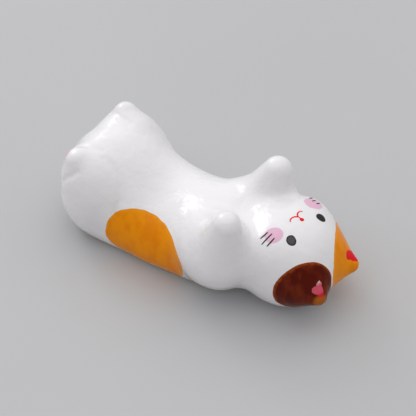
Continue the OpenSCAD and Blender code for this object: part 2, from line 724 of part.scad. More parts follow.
module right_paw_pad() {
    color(blush)
    enamel(right_pad_seat, full_turn / 2 - pad_aside, pad_rise, [1, 1, 1, 1] * pad_angle,
           pad_counts);
}

torso();
head();
left_ear();
right_ear();
left_foreleg();
right_foreleg();
left_hind_leg();
right_hind_leg();
bare_foot();
flank_enamel();
brown_head_enamel();
orange_ear_enamel();
left_inner_ear();
right_inner_ear();
left_eye();
right_eye();
left_cheek();
right_cheek();
left_whisker_1();
left_whisker_2();
left_whisker_3();
right_whisker_1();
right_whisker_2();
right_whisker_3();
nose();
philtrum();
mouth();
left_paw_pad();
right_paw_pad();
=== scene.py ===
"""Looks of the chopstick rest: a small glazed ceramic cat that lies on its back.

The casting is one smooth skin made from the same rounded forms as the CAD source. The enamel
colours are thin sheets laid on that skin. Lengths are millimetres until a mesh is made, and the
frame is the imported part's: +X towards the head, +Y towards the cat's right side, +Z up.
"""

from __future__ import annotations

import logging
import math
from dataclasses import dataclass, field
from enum import Enum
from typing import Iterable, Sequence

import bpy
import numpy as np
from mathutils import Matrix, Vector

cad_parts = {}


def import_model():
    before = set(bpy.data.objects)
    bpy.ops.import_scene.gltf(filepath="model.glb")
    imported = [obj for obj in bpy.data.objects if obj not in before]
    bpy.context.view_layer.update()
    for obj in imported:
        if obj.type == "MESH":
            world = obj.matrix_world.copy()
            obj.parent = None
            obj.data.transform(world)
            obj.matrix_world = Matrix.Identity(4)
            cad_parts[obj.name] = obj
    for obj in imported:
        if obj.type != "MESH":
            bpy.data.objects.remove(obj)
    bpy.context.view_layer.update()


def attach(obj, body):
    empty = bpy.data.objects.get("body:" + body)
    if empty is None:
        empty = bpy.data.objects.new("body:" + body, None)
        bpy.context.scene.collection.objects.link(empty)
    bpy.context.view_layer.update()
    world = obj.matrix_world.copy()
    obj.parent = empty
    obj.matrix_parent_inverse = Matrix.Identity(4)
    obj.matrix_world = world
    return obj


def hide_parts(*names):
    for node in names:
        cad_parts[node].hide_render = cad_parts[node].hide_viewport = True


LOG = logging.getLogger("chopstick_rest")
MM = 0.001
BODY = "root"
SEEN_SHARE = 0.95  # share of a painted area's reach at which it dips under the skin
COAT = 0.045  # thickness of one coat of enamel
AREA_DIP = 0.03  # how far the edge of a painted area dips under the skin
AREA_FALL = 10  # power of the share of the reach with which that edge falls
LINE_RISE = 0.05  # how far the middle of a painted line stands up
LINE_DIP = 0.02  # how far its edges dip
LINE_ACROSS = np.array([-1, -0.72, 0, 0.72, 1])  # where its vertices lie, in shares of the half width
LINE_SPOTS = 28  # how many spots a line has along it
CURVE_SPOTS = 16  # how many spots a curve has between two given ones, before they are evened out
OUTLINE_SPOTS = 720  # how finely a painted area's outline is smoothed
OUTLINE_BLUR = 12  # how many of those spots on each side are blurred into one
RING_CROWD = 1.3  # power with which the rings of a painted area crowd towards its edge
RAY_STEPS = 260  # steps that a ray takes to the skin
RAY_STRIDE = 0.8  # share of the distance that each step covers
FOOT_STRIDE = 0.6  # the same for the foot's outline
FOOT_NEAREST = 0.5  # least distance from the spine to the foot's outline
SLOPE_STEP = 0.004  # how far apart the distances lie that give a slope
RIPPLE_DEPTH = 0.0004  # depth in metres of the glaze's ripple
RIPPLE_SHARE = 0.6  # how much of it shows

Triple = tuple[float, float, float]
Pair = tuple[float, float]
Colour = tuple[float, ...]


class Side(Enum):
    """A side of the cat, with the sign of its Y."""

    LEFT = -1
    RIGHT = 1


class Laying(Enum):
    """How a painted area's rays run: side by side, or fanned out from one spot."""

    CAST = "cast"
    ROUND = "round"


# Rounded forms


@dataclass(frozen=True)
class Egg:
    """An ellipsoid.

    Args:
        centre: Its middle.
        radii: Its three half lengths.
    """

    centre: Triple
    radii: Triple

    def distance(self, points: np.ndarray) -> np.ndarray:
        """Signed distance, close to true near the surface.

        Args:
            points: Spots, one a row.

        Returns:
            One value a spot, below zero inside.
        """
        q = (points - np.array(self.centre)) / np.array(self.radii)
        near = np.linalg.norm(q, axis=-1)
        steep = np.linalg.norm(q / np.array(self.radii), axis=-1)
        return near * (near - 1) / np.maximum(steep, 1e-9)


@dataclass(frozen=True)
class Limb:
    """A ball at the root, swept and tapered to a ball at the tip.

    Args:
        root: Middle of the root ball.
        tip: Middle of the tip ball.
        root_radius: Radius of the root ball.
        tip_radius: Radius of the tip ball.
    """

    root: Triple
    tip: Triple
    root_radius: float
    tip_radius: float

    def distance(self, points: np.ndarray) -> np.ndarray:
        """Signed distance to the tapered limb.

        Args:
            points: Spots, one a row.

        Returns:
            One value a spot, below zero inside.
        """
        span = np.array(self.tip) - np.array(self.root)
        length = np.linalg.norm(span)
        away = points - np.array(self.root)
        along = away @ span / length
        aside = np.sqrt(np.maximum((away * away).sum(-1) - along**2, 0))
        slope = math.tan(math.asin((self.root_radius - self.tip_radius) / length))
        share = np.clip((along - aside * slope) / length, 0, 1)
        nearest = np.linalg.norm(away - share[..., None] * span, axis=-1)
        return nearest - self.root_radius - share * (self.tip_radius - self.root_radius)


@dataclass(frozen=True)
class Groove:
    """A soft groove pressed along a path.

    Args:
        path: Spots of the path.
        width: Its half width.
        depth: How deep it is.
    """

    path: tuple[Triple, ...]
    width: float
    depth: float

    def depth_at(self, points: np.ndarray) -> np.ndarray:
        """How deep the groove is at each spot.

        Args:
            points: Spots, one a row.

        Returns:
            One depth a spot.
        """
        best = np.full(points.shape[:-1], np.inf)
        spots = [np.array(spot) for spot in self.path]
        for a, b in zip(spots, spots[1:]):
            span = b - a
            share = np.clip((points - a) @ span / (span @ span), 0, 1)
            best = np.minimum(best, np.linalg.norm(points - a - share[..., None] * span, axis=-1))
        return self.depth * np.exp(-((best / self.width) ** 2))


def melt(a: np.ndarray, b: np.ndarray, width: np.ndarray | float) -> np.ndarray:
    """The lesser of two distances, with the corner between them melted over a width."""
    near = np.maximum(width - np.abs(a - b), 0) / width
    return np.minimum(a, b) - near**2 * width / 4


def ease(share: np.ndarray) -> np.ndarray:
    """Eases a share in and out, held between 0 and 1."""
    t = np.clip(share, 0.0, 1.0)
    return t * t * (3.0 - 2.0 * t)


def fold(points: np.ndarray, radius: float = 0.8) -> np.ndarray:
    """Carries both sides onto the +Y side, with a rounded fold at the mid plane.

    Args:
        points: Spots, one a row.
        radius: Radius of the fold.

    Returns:
        The folded spots.
    """
    out = points.copy()
    out[..., 1] = np.sqrt(points[..., 1] ** 2 + radius**2)
    return out


@dataclass(frozen=True)
class CatForm:
    """All the forms of the cat, as in the CAD source, with the fine relief of the legs and cheeks.

    What lies on both sides is given for the +Y side. The rim of the haunch shows on the left only,
    and there the foreleg runs out into the flank more softly: its melt grows by rear_melt, along each
    axis from rear_start over rear_run.
    """

    rump: Egg = Egg((-19.7, 0, 8.1), (9.8, 11.1, 11))
    belly: Egg = Egg((-7.2, 0, 5.2), (18.9, 11.1, 8.7))
    chest: Egg = Egg((6.2, 0, 7.5), (9.1, 10.4, 8.1))
    haunch: Egg = Egg((-20, 6.5, 9.6), (6.3, 6.3, 8))
    hind_leg: Limb = Limb((-21.8, 6, 13.9), (-22.9, 7.7, 17.2), 4.8, 2.4)
    foreleg: Limb = Limb((8.9, 7.5, 10.1), (10.9, 8.6, 19.6), 6.35, 2.8)
    skull: Egg = Egg((0, 0, 0), (10.7, 10.4, 9.3))
    jowl: Egg = Egg((0.3, 5.0, 3.5), (4.5, 4.5, 4.5))
    ear: Limb = Limb((2.5, 2.1, -0.9), (10.8, 5.2, -1.0), 6.3, 1.5)
    head_middle: Triple = (17.7, 1.4, 8.5)
    head_turn: float = math.radians(-3.7)
    trunk_melt: float = 6.0
    haunch_melt: float = 2.4
    hind_melt: float = 2.2
    fore_melt: float = 3.6
    rear_melt: float = 2.2
    rear_start: Triple = (9.5, 0.0, 3.0)
    rear_run: Triple = (-4.5, -4.0, 8.0)
    ear_melt: float = 3.0
    neck_melt: float = 2.4
    jowl_melt: float = 2.4
    over_paw: Groove = Groove(((-24.9, 5.9, 17.6), (-24.1, 5.5, 18.5), (-22.1, 5.0, 19), (-19.8, 4.6, 18.9)),
                              0.75, 0.24)
    under_paw: Groove = Groove(((-24.2, 10.9, 13.6), (-23.5, 10.9, 14.7), (-22.1, 10.8, 16.1),
                                (-21.3, 10.3, 17)), 0.6, 0.24)
    haunch_rim: Groove = Groove(((-18.3, -5.5, 18.4), (-16.4, -5.6, 17.4), (-14.9, -6.2, 16.2),
                                 (-13.7, -7.3, 14.6), (-12.9, -8.5, 12.8), (-13.1, -9.7, 10.4)), 0.8, 0.22)

    def into_head(self, points: np.ndarray) -> np.ndarray:
        """Spots seen from the head's own frame.

        Args:
            points: Spots, one a row.

        Returns:
            The same spots from the head's middle, turned with it.
        """
        q = points - np.array(self.head_middle)
        c, s = math.cos(self.head_turn), math.sin(self.head_turn)
        return np.stack([c * q[..., 0] + s * q[..., 1], c * q[..., 1] - s * q[..., 0], q[..., 2]], -1)

    def out_of_head(self, spot: Sequence[float]) -> np.ndarray:
        """A spot of the head's own frame, in the part's frame.

        Args:
            spot: The spot in the head's frame.

        Returns:
            The spot in the part's frame.
        """
        c, s = math.cos(self.head_turn), math.sin(self.head_turn)
        x, y, z = spot
        return np.array(self.head_middle) + np.array([c * x - s * y, s * x + c * y, z])

    def torso(self, points: np.ndarray) -> np.ndarray:
        """Distance to the rump, belly, chest and legs.

        Args:
            points: Spots, one a row.

        Returns:
            One value a spot.
        """
        m = fold(points)
        trunk = melt(self.rump.distance(points), self.belly.distance(points), self.trunk_melt)
        trunk = melt(trunk, self.chest.distance(points), self.trunk_melt)
        seat = melt(trunk, self.haunch.distance(m), self.haunch_melt)
        seat = melt(seat, self.hind_leg.distance(m), self.hind_melt)
        seat = seat + self.over_paw.depth_at(m) + self.under_paw.depth_at(m)
        seat = seat + self.haunch_rim.depth_at(points)
        grown = ease((points - np.array(self.rear_start)) / np.array(self.rear_run))
        behind = grown[..., 0] * grown[..., 1] * grown[..., 2]
        return melt(seat, self.foreleg.distance(m), self.fore_melt + self.rear_melt * behind)

    def head(self, points: np.ndarray) -> np.ndarray:
        """Distance to the skull and ears.

        Args:
            points: Spots, one a row.

        Returns:
            One value a spot.
        """
        q = self.into_head(points)
        cheeks = melt(self.skull.distance(q), self.jowl.distance(fold(q)), self.jowl_melt)
        return melt(cheeks, self.ear.distance(fold(q)), self.ear_melt)

    def skin(self, points: np.ndarray) -> np.ndarray:
        """Distance to the whole casting, before its foot is cut flat."""
        return melt(self.torso(points), self.head(points), self.neck_melt)


@dataclass(frozen=True)
class Skin:
    """The glazed surface, and how things are laid on it.

    Args:
        form: The cat's forms.
        glaze_line: Height at which the glaze stops above the bare foot.
        lip: Radius of the glaze's rolled edge.
    """

    form: CatForm
    glaze_line: float = 0.55
    lip: float = 0.5

    def distance(self, points: np.ndarray) -> np.ndarray:
        """Distance to the glazed casting, closed below at the glaze line."""
        return -melt(-self.form.skin(points), points[..., 2] - self.glaze_line, self.lip)

    def slope(self, points: np.ndarray) -> np.ndarray:
        """How fast the distance grows along each axis.

        Args:
            points: Spots, one a row.

        Returns:
            One vector a spot.
        """
        out = np.empty_like(points)
        for axis, shift in enumerate(np.eye(3) * SLOPE_STEP):
            rise = self.distance(points + shift) - self.distance(points - shift)
            out[..., axis] = rise / (2 * SLOPE_STEP)
        return out

    def normals(self, points: np.ndarray) -> np.ndarray:
        """The ways that the skin faces at spots, each of length one."""
        slope = self.slope(points)
        return slope / np.linalg.norm(slope, axis=1)[:, None]

    def settle(self, points: np.ndarray, rounds: int = 5) -> np.ndarray:
        """Moves spots straight onto the skin.

        Args:
            points: Spots near it.
            rounds: How many steps are taken.

        Returns:
            The settled spots.
        """
        for _ in range(rounds):
            g = self.slope(points)
            f = self.distance(points)
            points = points - g * (f / np.maximum((g * g).sum(-1), 1e-6))[..., None]
        return points

    def reach(self, start: np.ndarray, way: np.ndarray, level: np.ndarray | float) -> np.ndarray:
        """Where rays from inside the casting come out at a level.

        Args:
            start: Where each ray starts.
            way: Each ray's direction, of length one.
            level: The level each ray stops at.

        Returns:
            The spots.
        """
        t = np.zeros(len(start))
        for _ in range(RAY_STEPS):
            f = self.distance(start + way * t[:, None]) - level
            t = t - np.clip(f, -1.0, 1.0) * RAY_STRIDE
        return start + way * t[:, None]

    def above(self, plan: np.ndarray, level: np.ndarray | float) -> np.ndarray:
        """Spots at a level of the top of the casting, straight above their places in plan."""
        start = np.column_stack([plan, np.full(len(plan), self.form.head_middle[2])])
        return self.reach(start, np.tile([0.0, 0.0, 1.0], (len(plan), 1)), level)


# Meshes


@dataclass
class MeshData:
    """Vertices and faces of one piece, before Blender.

    Args:
        spots: Vertices in millimetres.
        faces: Vertex numbers of each face.
        normals: A normal for each vertex, where the smooth one is known.
        marks: Named values at the vertices, for the materials.
    """

    spots: np.ndarray
    faces: list[tuple[int, ...]]
    normals: np.ndarray | None = None
    marks: dict[str, np.ndarray] = field(default_factory=dict)

    def to_object(self, name: str) -> bpy.types.Object:
        """Makes the Blender object.

        Args:
            name: The object's name.

        Returns:
            The new object, smooth shaded.
        """
        mesh = bpy.data.meshes.new(name)
        mesh.from_pydata((self.spots * MM).tolist(), [], self.faces)
        for label, values in self.marks.items():
            mark = mesh.attributes.new(label, "FLOAT", "POINT")
            mark.data.foreach_set("value", values.astype(np.float32))
        mesh.shade_smooth()
        if self.normals is not None:
            mesh.normals_split_custom_set_from_vertices(self.normals.tolist())
        mesh.update()
        obj = bpy.data.objects.new(name, mesh)
        bpy.context.scene.collection.objects.link(obj)
        return obj


def net_surface(skin: Skin, low: Sequence[float], high: Sequence[float], step: float) -> MeshData:
    """The closed skin as a fine mesh of quads, one vertex in each grid cell that it crosses.

    Args:
        skin: The surface.
        low: Lowest corner of the grid.
        high: Highest corner of the grid.
        step: Width of a grid cell.

    Returns:
        The mesh, with its vertices on the surface.
    """
    ticks = [np.arange(a, b + step, step) for a, b in zip(low, high)]
    grid = np.stack(np.meshgrid(*ticks, indexing="ij"), -1)
    values = skin.distance(grid.reshape(-1, 3)).reshape(grid.shape[:3])
    cells = tuple(n - 1 for n in values.shape)
    total = np.zeros((*cells, 3))
    count = np.zeros(cells)
    crossings = []
    for axis in range(3):
        first = np.moveaxis(values, axis, 0)[:-1]
        second = np.moveaxis(values, axis, 0)[1:]
        crossed = (first < 0) != (second < 0)
        share = np.where(crossed, first / np.where(crossed, first - second, 1), 0)
        crossed = np.moveaxis(crossed, 0, axis)
        share = np.moveaxis(share, 0, axis)
        inward = np.moveaxis(second < 0, 0, axis)
        crossings.append((crossed, inward))
        base = [slice(0, n) for n in cells]
        others = [k for k in range(3) if k != axis]
        for i in (0, 1):
            for j in (0, 1):
                at = list(base)
                at[others[0]] = slice(i, cells[others[0]] + i)
                at[others[1]] = slice(j, cells[others[1]] + j)
                hit = crossed[tuple(at)]
                place = grid[tuple(at)].copy()
                place[..., axis] += share[tuple(at)] * step
                total += np.where(hit[..., None], place, 0)
                count += hit
    used = count > 0
    number = np.full(cells, -1)
    number[used] = np.arange(used.sum())
    spots = skin.settle(total[used] / count[used][:, None])
    faces: list[np.ndarray] = []
    for axis, (crossed, inward) in enumerate(crossings):
        others = [k for k in range(3) if k != axis]
        where = np.argwhere(crossed)
        keep = (where[:, others[0]] > 0) & (where[:, others[1]] > 0)
        keep &= (where[:, others[0]] < cells[others[0]]) & (where[:, others[1]] < cells[others[1]])
        where = where[keep]
        corners = []
        for i, j in ((0, 0), (1, 0), (1, 1), (0, 1)):
            cell = where.copy()
            cell[:, others[0]] -= 1 - i
            cell[:, others[1]] -= 1 - j
            corners.append(number[tuple(cell.T)])
        quad = np.stack(corners, 1)
        turn = inward[tuple(where.T)] != (axis == 1)
        quad[turn] = quad[turn][:, ::-1]
        faces.append(quad)
    return MeshData(spots, [tuple(q) for q in np.concatenate(faces).tolist()], skin.normals(spots))


def band_faces(rows: int, width: int, first: int = 0, closed: bool = True) -> list[tuple[int, ...]]:
    """Quads between rows of vertices that follow each other.

    Args:
        rows: How many rows there are.
        width: How many vertices a row has.
        first: Number of the first vertex.
        closed: Whether each row closes on itself.

    Returns:
        The faces.
    """
    faces = []
    for k in range(rows - 1):
        row = first + k * width
        for j in range(width if closed else width - 1):
            a, b = row + j, row + (j + 1) % width
            faces.append((a, a + width, b + width, b))
    return faces


@dataclass(frozen=True)
class Brush:
    """How unevenly a brush leaves an edge.

    Args:
        seed: Seed of the unevenness.
        wobble: Share of the reach that the edge wanders.
        nicks: Share of the reach that small brush marks take.
    """

    seed: int
    wobble: float
    nicks: float = 0.008

    def edge(self, angles: np.ndarray) -> np.ndarray:
        """Factor on the reach at each angle.

        Args:
            angles: Angles in radians.

        Returns:
            Factors close to one.
        """
        rng = np.random.default_rng(self.seed)
        out = np.ones_like(angles)
        for k in range(2, 7):
            out += self.wobble * rng.normal() / k * np.sin(k * angles + rng.uniform(0, math.tau))
        for k in range(11, 30, 3):
            out += self.nicks * rng.normal() / 3 * np.sin(k * angles + rng.uniform(0, math.tau))
        return out


@dataclass(frozen=True)
class Seat:
    """Where a painted area is laid from.

    Args:
        spot: A spot inside the casting.
        azimuth: Way it faces, in degrees about the vertical.
        rise: How far above level it faces, in degrees.
        laying: How its rays run.
    """

    spot: Triple
    azimuth: float
    rise: float
    laying: Laying

    def axes(self) -> np.ndarray:
        """The seat's own axes.

        Returns:
            Rows: across, up and outwards.
        """
        a, e = math.radians(self.azimuth), math.radians(self.rise)
        return np.array([
            [-math.sin(a), math.cos(a), 0],
            [-math.cos(a) * math.sin(e), -math.sin(a) * math.sin(e), math.cos(e)],
            [math.cos(a) * math.cos(e), math.sin(a) * math.cos(e), math.sin(e)],
        ])

    def polar(self, spots: np.ndarray) -> tuple[np.ndarray, np.ndarray]:
        """Angle and reach of spots around the seat.

        Args:
            spots: Spots on the skin.

        Returns:
            Angles in radians, and reaches in millimetres or in radians.
        """
        away = (spots - np.array(self.spot)) @ self.axes().T
        angle = np.arctan2(away[:, 1], away[:, 0])
        flat = np.hypot(away[:, 0], away[:, 1])
        if self.laying is Laying.CAST:
            return angle, flat
        return angle, np.arctan2(flat, away[:, 2])

    def rays(self, angle: np.ndarray, reach: np.ndarray) -> tuple[np.ndarray, np.ndarray]:
        """Rays at angles and reaches around the seat.

        Args:
            angle: Angles in radians.
            reach: Reaches in millimetres or in radians.

        Returns:
            Starts and directions.
        """
        across, up, out = self.axes()
        aside = np.cos(angle)[:, None] * across + np.sin(angle)[:, None] * up
        spot = np.array(self.spot)
        if self.laying is Laying.CAST:
            return spot + aside * reach[:, None], np.tile(out, (len(angle), 1))
        way = out * np.cos(reach)[:, None] + aside * np.sin(reach)[:, None]
        return np.tile(spot, (len(angle), 1)), way


@dataclass(frozen=True)
class PaintedArea:
    """A patch of enamel: rings around a seat, out to an outline.

    Args:
        name: Name of the piece.
        seat: Where it is laid from.
        brush: How its edge is left.
        outline: Spots of its outline in order, or none for a round patch.
        reach: Reach of a round patch, in millimetres, or in degrees for a fanned seat.
        layer: Which coat of colour it is, from 0 up.
        rings: Rings of vertices.
        sectors: Vertices a ring.
    """

    name: str
    seat: Seat
    brush: Brush
    outline: tuple[Triple, ...] = ()
    reach: float = 1.0
    layer: int = 0
    rings: int = 14
    sectors: int = 64

    def reaches(self, angles: np.ndarray) -> np.ndarray:
        """Reach of the outline at each angle.

        Args:
            angles: Angles in radians.

        Returns:
            Reaches in the seat's unit.
        """
        if not self.outline:
            unit = 1.0 if self.seat.laying is Laying.CAST else math.radians(1)
            return np.full(len(angles), self.reach * unit) * self.brush.edge(angles)
        at, reach = self.seat.polar(np.array(self.outline))
        fine = np.linspace(-math.pi, math.pi, OUTLINE_SPOTS, endpoint=False)
        even = np.interp(fine, at, reach, period=math.tau)
        kernel = np.exp(-np.linspace(-2, 2, 2 * OUTLINE_BLUR + 1) ** 2)
        padded = np.concatenate([even[-OUTLINE_BLUR:], even, even[:OUTLINE_BLUR]])
        smooth = np.convolve(padded, kernel / kernel.sum(), "valid")
        return np.interp(angles, fine, smooth, period=math.tau) * self.brush.edge(angles)

    def mesh(self, skin: Skin) -> MeshData:
        """Lays the patch.

        Args:
            skin: The surface it lies on.

        Returns:
            A sheet whose edge dips just under the skin.
        """
        angles = np.linspace(0, math.tau, self.sectors, endpoint=False)
        reach = self.reaches(angles) / SEEN_SHARE
        shares = 1 - (1 - np.arange(1, self.rings + 1) / self.rings) ** RING_CROWD
        share = np.concatenate([[0.0], np.repeat(shares, self.sectors)])
        angle = np.concatenate([[0.0], np.tile(angles, self.rings)])
        full = np.concatenate([[0.0], np.tile(reach, self.rings)])
        fall = share**AREA_FALL
        level = COAT * self.layer + COAT * (1 - fall) - AREA_DIP * fall
        spots = skin.reach(*self.seat.rays(angle, full * share), level)
        middle = [(0, 1 + j, 1 + (j + 1) % self.sectors) for j in range(self.sectors)]
        faces = middle + band_faces(self.rings, self.sectors, 1)
        return MeshData(spots, faces, skin.normals(spots), {"edge": share})


@dataclass(frozen=True)
class PaintedLine:
    """A line of enamel on top of the head, drawn in plan.

    Args:
        name: Name of the piece.
        path: X and Y of its spots.
        width: Its full width.
        layer: Which coat of colour it is, from 0 up.
        press: Width at its start and end, as shares of the full width.
    """

    name: str
    path: tuple[Pair, ...]
    width: float
    layer: int = 0
    press: Pair = (0.8, 0.5)

    def mesh(self, skin: Skin) -> MeshData:
        """Lays the line.

        Args:
            skin: The surface it lies on.

        Returns:
            A strip with rounded ends, its edges just under the skin.
        """
        path = smooth_path(np.array(self.path, float), LINE_SPOTS)
        n = len(path)
        step = np.gradient(path, axis=0)
        step /= np.linalg.norm(step, axis=1)[:, None]
        aside = np.column_stack([-step[:, 1], step[:, 0]])
        length = np.concatenate([[0], np.cumsum(np.linalg.norm(np.diff(path, axis=0), axis=1))])
        share = length / length[-1]
        half = self.width / 2 * (self.press[0] * (1 - share) + self.press[1] * share)
        half = half + self.width / 2 * 4 * share * (1 - share) * (1 - sum(self.press) / 2)
        left = np.minimum(length, length[-1] - length)
        round_end = np.sqrt(np.clip(1 - (1 - np.clip(left / (self.width / 2), 0, 1)) ** 2, 0, 1))
        half = half * np.maximum(round_end, 0.04)
        plan = path[:, None] + aside[:, None] * (half[:, None] * LINE_ACROSS)[..., None]
        edge = np.abs(LINE_ACROSS)
        level = COAT * self.layer + np.where(edge == 1, -LINE_DIP, LINE_RISE)
        spots = skin.above(plan.reshape(-1, 2), np.tile(level, n))
        faces = band_faces(n, len(edge), closed=False)
        return MeshData(spots, faces, skin.normals(spots), {"edge": np.tile(edge, n)})


def smooth_path(path: np.ndarray, count: int) -> np.ndarray:
    """A curve through spots in plan.

    Args:
        path: The spots.
        count: How many spots the curve gets.

    Returns:
        Evenly spaced spots of the curve.
    """
    pad = np.vstack([2 * path[0] - path[1], path, 2 * path[-1] - path[-2]])
    out = []
    for k in range(len(path) - 1):
        a, b, c, d = pad[k : k + 4]
        for t in np.linspace(0, 1, CURVE_SPOTS, endpoint=False):
            out.append(0.5 * (2 * b + (c - a) * t + (2 * a - 5 * b + 4 * c - d) * t**2
                              + (3 * b - a - 3 * c + d) * t**3))
    out.append(path[-1])
    line = np.array(out)
    length = np.concatenate([[0], np.cumsum(np.linalg.norm(np.diff(line, axis=0), axis=1))])
    even = np.linspace(0, length[-1], count)
    return np.column_stack([np.interp(even, length, line[:, k]) for k in (0, 1)])


# Shaders


class Value:
    """A shader socket that adds, subtracts and multiplies like a number.

    Args:
        graph: The graph it belongs to.
        socket: The output socket.
    """

    def __init__(self, graph: "Graph", socket: bpy.types.NodeSocket) -> None:
        """Wraps an output socket."""
        self.graph = graph
        self.socket = socket

    def __add__(self, other: "Value | float") -> "Value":
        """Self plus other."""
        return self.graph.math("ADD", self, other)

    def __radd__(self, other: "Value | float") -> "Value":
        """Other plus self."""
        return self.graph.math("ADD", other, self)

    def __sub__(self, other: "Value | float") -> "Value":
        """Self less other."""
        return self.graph.math("SUBTRACT", self, other)

    def __rsub__(self, other: "Value | float") -> "Value":
        """Other less self."""
        return self.graph.math("SUBTRACT", other, self)

    def __mul__(self, other: "Value | float") -> "Value":
        """Self times other."""
        return self.graph.math("MULTIPLY", self, other)

    def __rmul__(self, other: "Value | float") -> "Value":
        """Other times self."""
        return self.graph.math("MULTIPLY", other, self)

    def step(self, low: float, high: float) -> "Value":
        """Smooth step from 0 at low to 1 at high."""
        sockets = {"Value": self, "From Min": low, "From Max": high, "To Min": 0.0, "To Max": 1.0}
        return self.graph.node("ShaderNodeMapRange", {"interpolation_type": "SMOOTHSTEP"}, sockets)


class Graph:
    """Builds the nodes of one material, or of the world."""

    def __init__(self, owner: bpy.types.Material | bpy.types.World) -> None:
        """Empties the owner's node tree.

        Args:
            owner: The material or world.
        """
        self.owner = owner
        self.owner.use_nodes = True
        self.tree = self.owner.node_tree
        self.tree.nodes.clear()

    def node(self, kind: str, settings: dict | None = None, sockets: dict | None = None,
             out: int | str = 0) -> Value:
        """Adds a node.

        Args:
            kind: Its Blender type.
            settings: Its own settings, made before its sockets are set.
            sockets: Values or links by socket name or number.
            out: The output that is handed back.

        Returns:
            That output.
        """
        made = self.tree.nodes.new(kind)
        for key, value in (settings or {}).items():
            setattr(made, key, value)
        for key, value in (sockets or {}).items():
            if isinstance(value, Value):
                self.tree.links.new(value.socket, made.inputs[key])
            else:
                made.inputs[key].default_value = value
        return Value(self, made.outputs[out])

    def math(self, operation: str, *terms: Value | float) -> Value:
        """A Math node: its operation and its inputs."""
        return self.node("ShaderNodeMath", {"operation": operation}, dict(enumerate(terms)))

    def place(self) -> Value:
        """Spot in the part's frame, in metres."""
        return self.node("ShaderNodeTexCoord", out="Object")

    def height(self) -> Value:
        """Height above the table, in metres."""
        return self.node("ShaderNodeSeparateXYZ", sockets={0: self.place()}, out="Z")

    def away(self, spot: Sequence[float]) -> Value:
        """Distance from a spot given in millimetres, in metres."""
        sockets = {0: self.place(), 1: tuple(c * MM for c in spot)}
        return self.node("ShaderNodeVectorMath", {"operation": "DISTANCE"}, sockets, out="Value")

    def mark(self, name: str) -> Value:
        """A named value kept at the vertices."""
        return self.node("ShaderNodeAttribute", {"attribute_name": name}, out="Fac")

    def noise(self, scale: float, detail: float = 3.0, shift: float = 0.0,
              squeeze: Triple = (1.0, 1.0, 1.0)) -> Value:
        """Soft noise over the part.

        Args:
            scale: Grains a metre.
            detail: How many finer grains are added.
            shift: Moves the pattern.
            squeeze: Factor on the scale along each axis, less than one for long streaks.

        Returns:
            A value around one half.
        """
        moved = self.node("ShaderNodeVectorMath", {"operation": "MULTIPLY_ADD"},
                          {0: self.place(), 1: squeeze, 2: (shift, shift, shift)})
        return self.node("ShaderNodeTexNoise", None,
                         {"Vector": moved, "Scale": scale, "Detail": detail, "Roughness": 0.55})

    def specks(self, scale: float, size: float) -> Value:
        """Small round specks.

        Args:
            scale: Specks a metre along a line.
            size: Radius as a share of their spacing.

        Returns:
            One on a speck and zero between them.
        """
        cells = self.node("ShaderNodeTexVoronoi", {"feature": "F1"},
                          {"Vector": self.place(), "Scale": scale, "Randomness": 1.0}, out="Distance")
        return 1.0 - cells.step(size * 0.6, size)

    def blend(self, a: Value | Sequence[float], b: Value | Sequence[float],
              share: Value | float) -> Value:
        """A Mix of two colours, the first where the share is 0."""
        settings = {"data_type": "RGBA", "clamp_factor": True}
        return self.node("ShaderNodeMix", settings, {0: share, 6: a, 7: b}, out=2)

    def ripple(self, fine: float, share: float) -> Value:
        """The glaze's ripple, in broad waves and a share of fine ones, at fine grains a metre."""
        return self.noise(170, 2, 1.0) * 0.55 + self.noise(fine, 3, 2.0) * share

    def bump(self, height: Value, depth: float = RIPPLE_DEPTH, strength: float = RIPPLE_SHARE) -> Value:
        """A normal bumped by a relief from 0 to 1, with its depth in metres and how much shows."""
        return self.node("ShaderNodeBump", None,
                         {"Strength": strength, "Distance": depth, "Height": height})

    def surface(self, **sockets: Value | float | Sequence[float]) -> bpy.types.Material:
        """Ends the material with a Principled shader.

        Args:
            sockets: Its inputs, with underscores for spaces.

        Returns:
            The finished material.
        """
        named = {key.replace("_", " "): value for key, value in sockets.items()}
        self.end(self.node("ShaderNodeBsdfPrincipled", None, named), "ShaderNodeOutputMaterial")
        return self.owner

    def end(self, shader: Value, kind: str) -> None:
        """Links a shader to a new output of a Blender type."""
        made = self.tree.nodes.new(kind)
        self.tree.links.new(shader.socket, made.inputs["Surface"])


def rgb(*screen: int) -> Colour:
    """A screen colour, from 0 to 255, as Blender's linear colour with alpha 1."""
    shares = (value / 255 for value in screen)
    return (*(s / 12.92 if s <= 0.04045 else ((s + 0.055) / 1.055) ** 2.4 for s in shares), 1.0)


